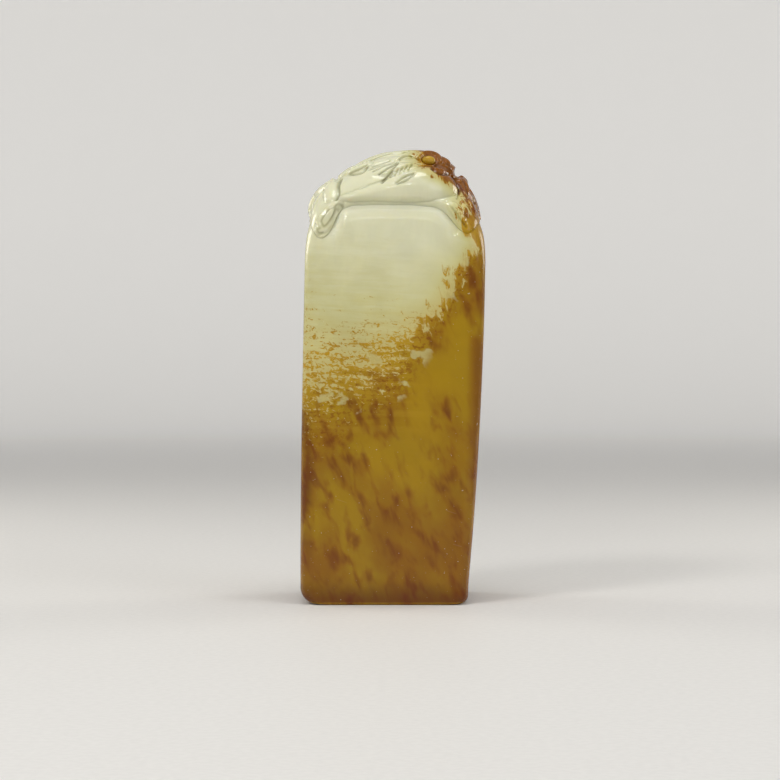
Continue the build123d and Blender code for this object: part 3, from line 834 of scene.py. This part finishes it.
# Lines cut with a fine wheel, in the front view: by half width and depth, the points of each
LINES = {
    (0.2, 0.2): [
        [(-3.6, 76.7), (-2.0, 77.3), (-0.6, 77.8)],
        [(-4.2, 76.1), (-2.6, 76.7), (-1.0, 77.1)],
        [(0.2, 77.5), (-1.7, 76.8), (-3.4, 75.8)],
        [(10.2, 69.3), (11.6, 67.4), (12.7, 65.9)],
    ],
    (0.22, 0.3): [
        [(0.8, 77.3), (-0.9, 76.3), (-2.4, 75.2)],
        [(0.8, 77.3), (-0.2, 75.6), (-1.9, 73.7)],
        [(9.9, 75.4), (8.6, 75.2), (7.6, 75.5), (6.8, 76.2)],
    ],
    (0.18, 0.2): [
        *([(x, z), (x - 0.6, z - 1)] for x, z in (
            (3.3, 76.8), (2.5, 76.6), (1.7, 76.3), (0.9, 76.0), (0.1, 75.7))),
        [(-8.5, 68.7), (-8.8, 69.6), (-9.6, 69.9), (-10.0, 69.3), (-9.5, 68.9)],
        [(-12.2, 64.9), (-12.8, 64.8), (-13.1, 65.4), (-12.7, 65.7)],
    ],
    (0.2, 0.24): [
        [(3.6, 75.2), (1.8, 74.5), (0.6, 73.6)],
        [(3.4, 74.9), (2.2, 73.9), (0.7, 73.4)],
        [(-12.0, 66.0), (-12.5, 66.9), (-11.8, 68.2), (-10.8, 69.3), (-10.0, 69.1),
         (-10.4, 67.8), (-11.4, 66.4), (-12.0, 66.0)],
        [(10.6, 75.0), (11.3, 73.6), (11.6, 72.2), (11.2, 71.0)],
    ],
    (0.2, 0.26): [
        [(-4.6, 77.0), (-5.6, 76.4), (-7.7, 75.4), (-5.6, 75.5), (-4.4, 76.6)],
        [(1.2, 77.9), (2.2, 78.3), (3.3, 78.4)],
        [(9.4, 77.2), (10.0, 76.8)],
    ],
    (0.2, 0.22): [
        [(-5.2, 76.7), (-6.2, 76.0)],
        [(12.3, 74.6), (12.9, 73.2), (13.2, 71.8)],
        [(12.9, 75.0), (13.7, 73.4), (14.2, 71.8), (14.5, 70.2)],
    ],
    (0.22, 0.34): [[(-9.1, 74.6), (-9.5, 73.2), (-9.4, 71.8), (-9.9, 70.6)]],
}
# Lines cut over the top, in the top view, drawn on one side and mirrored to the other
ONE_SIDE = {
    (0.2, 0.24): [[(-4.8, 2.4), (-3.0, 2.8), (0.0, 3.0), (2.6, 2.8)]],
    (0.2, 0.26): [
        [(-6.2, 0.0), (-3.2, 0.0), (0.4, 0.0), (3.4, 0.0)],
        [(-5.8, 1.2), (-3.2, 1.5), (0.4, 1.6), (3.2, 1.4)],
        [(4.6, 1.2), (5.4, 0.4), (6.6, 0.3), (7.6, 0.9)],
    ],
    (0.25, 0.35): [[(9.6, 1.3), (9.9, 0.8)]],
}
TOP_LINES = {kind: [[(x, y * way) for x, y in path] for path in paths for way in (-1, 1)]
             for kind, paths in ONE_SIDE.items()}

FORM_SOFTNESS = 0.12  # how softly two main forms run into each other
DETAIL_SOFTNESS = 0.06
GROOVE_DEPTH = 0.12  # the groove round each main form
SEAM_CLIMB = 0.55  # how far up from the seam the relief reaches its full height
BOX_MARGIN = 0.01  # how far the beast stays inside the model's own box


def laid(grid, path, view, steps=5):
    """A path drawn in a view, laid on the skin: each row finds the nearest point seen there."""
    axes, seen = VIEWS[view]
    places = grid[seen(grid)]
    table = finer(path, steps)
    found = [places[np.argmin(((places[:, axes] - at) ** 2).sum(-1))] for at in table[:, :2]]
    return np.hstack([np.array(found), table[:, 2:]])


def held_in(value, limit, margin=0.35):
    """A measure kept under a limit: past limit - margin it nears the limit as 1 - exp(-t) does."""
    over = np.clip(np.abs(value) - (limit - margin), 0, None)
    kept = np.where(over > 0, limit - margin * np.exp(-over / margin), np.abs(value))
    return np.sign(value) * kept


def eye_ring():
    """The lid: a ring round the eye, in the front view."""
    angle = np.linspace(0, 2 * np.pi, 13)
    return np.stack([EYE[0] + 1.5 * np.cos(angle), EYE[1] + 1.15 * np.sin(angle),
                     np.full(13, 0.26), np.full(13, 0.3)], -1)


def cut_depth(points):
    """How deep the engraved lines run at each point: for each line, depth x exp(-(d/w)^2), d
    being the distance in the view that the line is drawn in."""
    share = sizes().line_depth / MM / LINE_DEPTH
    depth = np.zeros(points.shape[:-1])
    for view, lines, weight in (
        (points[..., [0, 2]], LINES, smooth_step(1.5, 3.2, np.abs(points[..., 1]))),
        (points[..., [0, 1]], TOP_LINES, smooth_step(76.0, 77.2, points[..., 2])),
    ):
        for (width, deep), paths in lines.items():
            for path in paths:
                gap, _ = along_path(view, finer([(*point, width, deep) for point in path], 4))
                along = np.exp(-((gap + width) / width) ** 2)
                depth = np.maximum(depth, share * deep * along * weight)
    return depth


def beast_grid():
    """The dome above the rim in two stages: the main forms push it out along its normals, and
    the details push out the surface that they leave. The lines are cut last, and the lower edge
    turns in over a small quarter round and closes inside the stone."""
    columns = ring_columns(*BEAST_COLUMNS)
    start = rim_level(columns, 0.0)
    share = np.linspace(0, 1, BEAST_ROWS)[:, None]
    plain = skin(columns, start + (SKIN_LEVELS[-1] - start) * share)
    climb = np.linalg.norm(np.diff(plain, axis=0), axis=-1)
    climb = np.vstack([np.zeros(plain.shape[1]), np.cumsum(climb, 0)])
    near_seam = smooth_step(0.0, SEAM_CLIMB, climb)
    normals = outward_normals(plain)
    rise = np.zeros(plain.shape[:2])
    groove_and_shade = np.zeros(plain.shape[:2])
    drawn = [(path, view) for path in FORMS.values() for view in SIDES]
    drawn += [(path, "top") for path in TOP_FORMS.values()]
    drawn += [(path, view) for view, path in END_FORMS.items()]
    for path, view in drawn:
        flat = 4 if path is TOP_FORMS["head"] else 2
        steep = 0.85 if path is FORMS["haunch"] else 0.6
        gap, bump = along_path(plain, laid(plain, path, view), flat, steep)
        outline = np.exp(-((gap - 0.1) / 0.16) ** 2) * (1 - smooth_step(0.0, 0.12, rise))
        groove_and_shade = np.maximum(groove_and_shade * (1 - smooth_step(0.0, 0.12, bump)), outline)
        rise = join(rise, bump, FORM_SOFTNESS)
    for path in NOTCHES:
        _, bump = along_path(plain, laid(plain, path, "top"))
        rise = rise - bump
    grid = plain + normals * (rise * near_seam - GROOVE_DEPTH * groove_and_shade)[..., None]
    grid = grid + np.stack([inward(row) for row in plain]) * lip_fall(plain)[..., None]

    normals = outward_normals(grid)
    fine = np.zeros(plain.shape[:2])
    for path in [*DETAILS, eye_ring()]:
        for view in SIDES:
            _, bump = along_path(grid, laid(grid, path, view, 4))
            fine = join(fine, bump, DETAIL_SOFTNESS)
    lines = cut_depth(grid)
    edge = np.clip(1 - climb / SEAM, 0, 1)
    rounding = SEAM * (1 - np.sqrt(1 - edge**2))
    shaped = grid + normals * ((fine - lines) * near_seam - rounding)[..., None]
    low, high = (np.array(corner) / MM for corner in CAD_BOX)
    for axis in (1, 2):
        shaped[..., axis] = held_in(shaped[..., axis], high[axis] - BOX_MARGIN)
    shaped[..., 0] = np.clip(shaped[..., 0], low[0] + BOX_MARGIN, high[0] - BOX_MARGIN)
    inner = inward(shaped[0])
    below = []
    for reach, fall in ((0.9, 0.7), (0.25, 0.12)):
        point = shaped[0] + inner * reach
        point[:, 2] -= fall
        below.append(point)
    last = below[0]
    closing = [last + (np.array([1.0, 0, 64.5]) - last) * part for part in (1.0, 0.6)]
    # Painted shade: darker in the engraved lines, in the grooves round the forms, and along the seam
    # with the stone
    painted_shade = np.clip(lines / 0.3 + 0.4 * groove_and_shade, 0, 1) * near_seam + 0.25 * (1 - near_seam)
    painted_shade = np.vstack([np.zeros((CLOSING_ROWS, len(inner))), painted_shade])
    return np.stack([*closing, *below, *shaped]), painted_shade


def normal_near(skin_grid, place, reach):
    """The mean normal of the skin within reach of a place."""
    near = np.linalg.norm(skin_grid - place, axis=-1) < reach
    return outward_normals(skin_grid)[near].mean(0)


def eye_grid(skin_grid, view):
    """An eyeball: an ellipsoid let into the head, its short axis square to the skin there."""
    centre = laid(skin_grid, [(*EYE, 0, 0), (*EYE, 0, 0)], view, 1)[0, :3]
    out = unit(normal_near(skin_grid, centre, EYE_RADII[0]))
    across = unit(np.cross(out, (0, 0, 1.0)))
    up = np.cross(across, out)
    polar = np.linspace(0, np.pi, 26)[:, None]
    round_angle = np.linspace(0, 2 * np.pi, 40, endpoint=False)
    wide, deep, high = EYE_RADII
    return (centre + out * 0.05
            + across * (wide * np.sin(polar) * np.cos(round_angle))[..., None]
            + up * (high * np.sin(polar) * np.sin(round_angle))[..., None]
            + out * (deep * np.cos(polar) * np.ones(40))[..., None])


def claw_grid(skin_grid, path, view):
    """A claw: ellipses, a half width across and a rise high, carried along a path on the skin and
    drawn together at both ends by sqrt(1 - s^8), s being -1 at one end and 1 at the other."""
    table = laid(skin_grid, path, view, 8)
    spine = through(np.arange(len(table)), table, np.linspace(0, len(table) - 1, 40))
    centre = spine[:, :3]
    for _ in range(6):
        centre[1:-1] = (centre[:-2] + 2 * centre[1:-1] + centre[2:]) / 4
    along = unit(np.gradient(centre, axis=0))
    side = unit(np.cross(along, normal_near(skin_grid, centre[20], 1.5)))
    out = np.cross(side, along)
    s = np.linspace(-1, 1, 40)
    close = np.sqrt(np.clip(1 - s**8, 0, 1))[:, None, None]
    angle = np.linspace(0, 2 * np.pi, 28, endpoint=False)
    return centre[:, None] - 0.15 * out[:, None] + close * (
        side[:, None] * (spine[:, 3, None] * np.cos(angle))[..., None]
        + out[:, None] * (spine[:, 4, None] * np.sin(angle))[..., None])


class SEAL_OT_stone(bpy.types.Operator):
    """Makes the stone, with its sunk printing face, its polished sides and its rolled lip"""

    bl_idname = "seal.stone"
    bl_label = "Stone"

    def execute(self, context):
        grid, worn_and_highlight = stone_grid()
        put_piece("jade_stone", grid, jade("jade_stone"), ["shaft", "crown"],
                  worked_and_highlight=worn_and_highlight)
        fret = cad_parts["seal_fret"]
        fret.data.materials.clear()
        fret.data.materials.append(jade("jade_fret", smoothness=0.3, coat=0.0))
        return {"FINISHED"}


class SEAL_OT_beast(bpy.types.Operator):
    """Makes the beast's body and head, with its haunches, knees, mane and tail in low relief"""

    bl_idname = "seal.beast"
    bl_label = "Beast"

    def execute(self, context):
        grid, groove_and_shade = beast_grid()
        nodes = ["torso", "crest", "tail", "head", "muzzle", "jaw"]
        for kind in ("hind_leg", "mane_locks", "knee", "tail_tip", "hind_paw", "brow", "ear"):
            nodes += [f"{kind}_{side}" for side in SIDES]
        put_piece("jade_beast", grid, jade("jade_carving", smoothness=0.13, coat=0.4),
                  nodes, groove_and_shade)
        skin_grid = grid[CLOSING_ROWS:]
        eye = jade("jade_eye", smoothness=0.08, coat=0.4, golden=True)
        claw = jade("jade_claw", smoothness=0.12, coat=0.3)
        for side in SIDES:
            put_piece(f"jade_eyeball_{side}", eye_grid(skin_grid, side), eye,
                      [f"eye_{side}"])
            for number, path in enumerate(CLAWS, 1):
                nodes = [f"front_paw_{side}"] if number == 1 else []
                put_piece(f"jade_claw_{side}_{number}", claw_grid(skin_grid, path, side), claw,
                          nodes)
        return {"FINISHED"}


class SEAL_OT_stage(bpy.types.Operator):
    """Sets the floor, the backdrop, the lamps and the camera"""

    bl_idname = "seal.stage"
    bl_label = "Stage"

    def execute(self, context):
        scene = context.scene
        scene.view_settings.view_transform = "Standard"
        # A round sweep: a flat floor that curves up into a wall, its profile carried round
        turn = np.linspace(0, np.pi / 2, 24)
        flat, bend, tall = 0.7, 0.5, 1.6
        profile = [(0.0, 0.0), (0.2, 0.0), (0.45, 0.0)]
        profile += [(flat + bend * np.sin(a), bend - bend * np.cos(a)) for a in turn]
        profile = np.array([*profile, (flat + bend, tall)])
        round_angle = np.linspace(0, 2 * np.pi, 96, endpoint=False)
        grid = np.stack([profile[:, :1] * np.cos(round_angle), profile[:, :1] * np.sin(round_angle),
                         np.broadcast_to(profile[:, 1:], (len(profile), 96))], -1)
        faces = grid_quads(np.arange(grid[..., 0].size).reshape(grid.shape[:2]))
        mesh = smooth_mesh("studio_sweep", grid.reshape(-1, 3), faces.tolist())
        sweep = placed("studio_sweep", mesh)
        material, shader, n = new_material("studio_paper")
        place = n.add("ShaderNodeTexCoord").outputs["Object"]
        grain = n.noise(place, 900.0, detail=3.0)
        shade = n.add("ShaderNodeHueSaturation")
        shade.inputs["Color"].default_value = colours().floor
        n.put(shade.inputs["Value"], n.spread(grain, 0.3, 0.7, 0.98, 1.02))
        n.link(shade.outputs[0], shader.inputs["Base Color"])
        shader.inputs["Roughness"].default_value = 0.6
        # Far from the object the paper shows pale to the camera, and less so in the polish
        length = n.add("ShaderNodeVectorMath", operation="LENGTH")
        n.link(place, length.inputs[0])
        rays = n.add("ShaderNodeLightPath").outputs
        seen = n.math("MAXIMUM", rays["Is Camera Ray"], n.times(rays["Is Glossy Ray"], 0.4))
        seen = n.math("MAXIMUM", seen, rays["Is Transmission Ray"])
        glow = n.spread(length.outputs["Value"], 0.16, 1.1, 0.0, 0.52)
        shader.inputs["Emission Color"].default_value = colours().floor
        n.link(n.times(glow, seen), shader.inputs["Emission Strength"])
        mesh.materials.append(material)

        # Each lamp's name, place, size, power and colour
        for name, place, size, power, tint in (
            ("key", (-0.28, -0.34, 0.42), 0.16, 1.0, (1.0, 0.98, 0.95)),
            ("fill", (0.36, -0.30, 0.26), 0.34, 0.45, (0.96, 0.98, 1.0)),
            ("top", (0.02, -0.06, 0.50), 0.20, 0.6, (1.0, 1.0, 1.0)),
            ("strip", (-0.07, -0.42, 0.26), (0.26, 0.014), 0.2, (1.0, 1.0, 0.98)),
            ("rim_left", (-0.30, 0.16, 0.16), 0.16, 0.3, (1.0, 0.97, 0.9)),
            ("rim_right", (0.30, 0.16, 0.14), 0.16, 0.3, (1.0, 0.97, 0.9)),
        ):
            lamp = bpy.data.lights.new(name, "AREA")
            if isinstance(size, tuple):
                lamp.shape = "RECTANGLE"
                lamp.size, lamp.size_y = size
            else:
                lamp.shape = "DISK"
                lamp.size = size
            lamp.energy = power
            lamp.color = tint
            turned_to(placed(name, lamp, place), (0, 0, 0.045))

        world = bpy.data.worlds.new("studio_air")
        scene.world = world
        world.use_nodes = True
        background = world.node_tree.nodes["Background"]
        background.inputs["Color"].default_value = (0.93, 0.95, 1.0, 1.0)
        background.inputs["Strength"].default_value = 0.45

        camera = bpy.data.cameras.new("camera")
        # In the photograph the stone's top is on row 151 of 780 and its foot on row 604: the
        # distance and height that put them there were worked out for this lens and tilt
        camera.lens = 120
        camera.sensor_width = 36
        distance, tilt = 0.4645, np.radians(1.5)
        target = Vector((-0.0005, 0.0, 0.03725))
        place = target + Vector((0, -np.cos(tilt), np.sin(tilt))) * distance
        scene.camera = placed("camera", camera, place)
        turned_to(scene.camera, target)
        return {"FINISHED"}


STEPS = (SEAL_OT_stone, SEAL_OT_beast, SEAL_OT_stage)


class SEAL_PT_panel(bpy.types.Panel):
    """The seal's sizes, colours and steps"""

    bl_idname = "SEAL_PT_panel"
    bl_label = "Seal stamp"
    bl_space_type = "VIEW_3D"
    bl_region_type = "UI"
    bl_category = "Seal"

    def draw(self, context):
        column = self.layout.column()
        for group in (context.scene.seal_sizes, context.scene.seal_colours):
            for word in group.bl_rna.properties.keys():
                if word not in {"rna_type", "name"}:
                    column.prop(group, word)
        for step in STEPS:
            column.operator(step.bl_idname)


CLASSES = (SealSizes, SealColours, *STEPS, SEAL_PT_panel)


def register():
    for kind in CLASSES:
        bpy.utils.register_class(kind)
    bpy.types.Scene.seal_sizes = bpy.props.PointerProperty(type=SealSizes)
    bpy.types.Scene.seal_colours = bpy.props.PointerProperty(type=SealColours)


def unregister():
    del bpy.types.Scene.seal_colours
    del bpy.types.Scene.seal_sizes
    for kind in reversed(CLASSES):
        bpy.utils.unregister_class(kind)


def main():
    register()
    for step in STEPS:
        group, word = step.bl_idname.split(".")
        getattr(getattr(bpy.ops, group), word)()


if __name__ == "__main__":
    main()
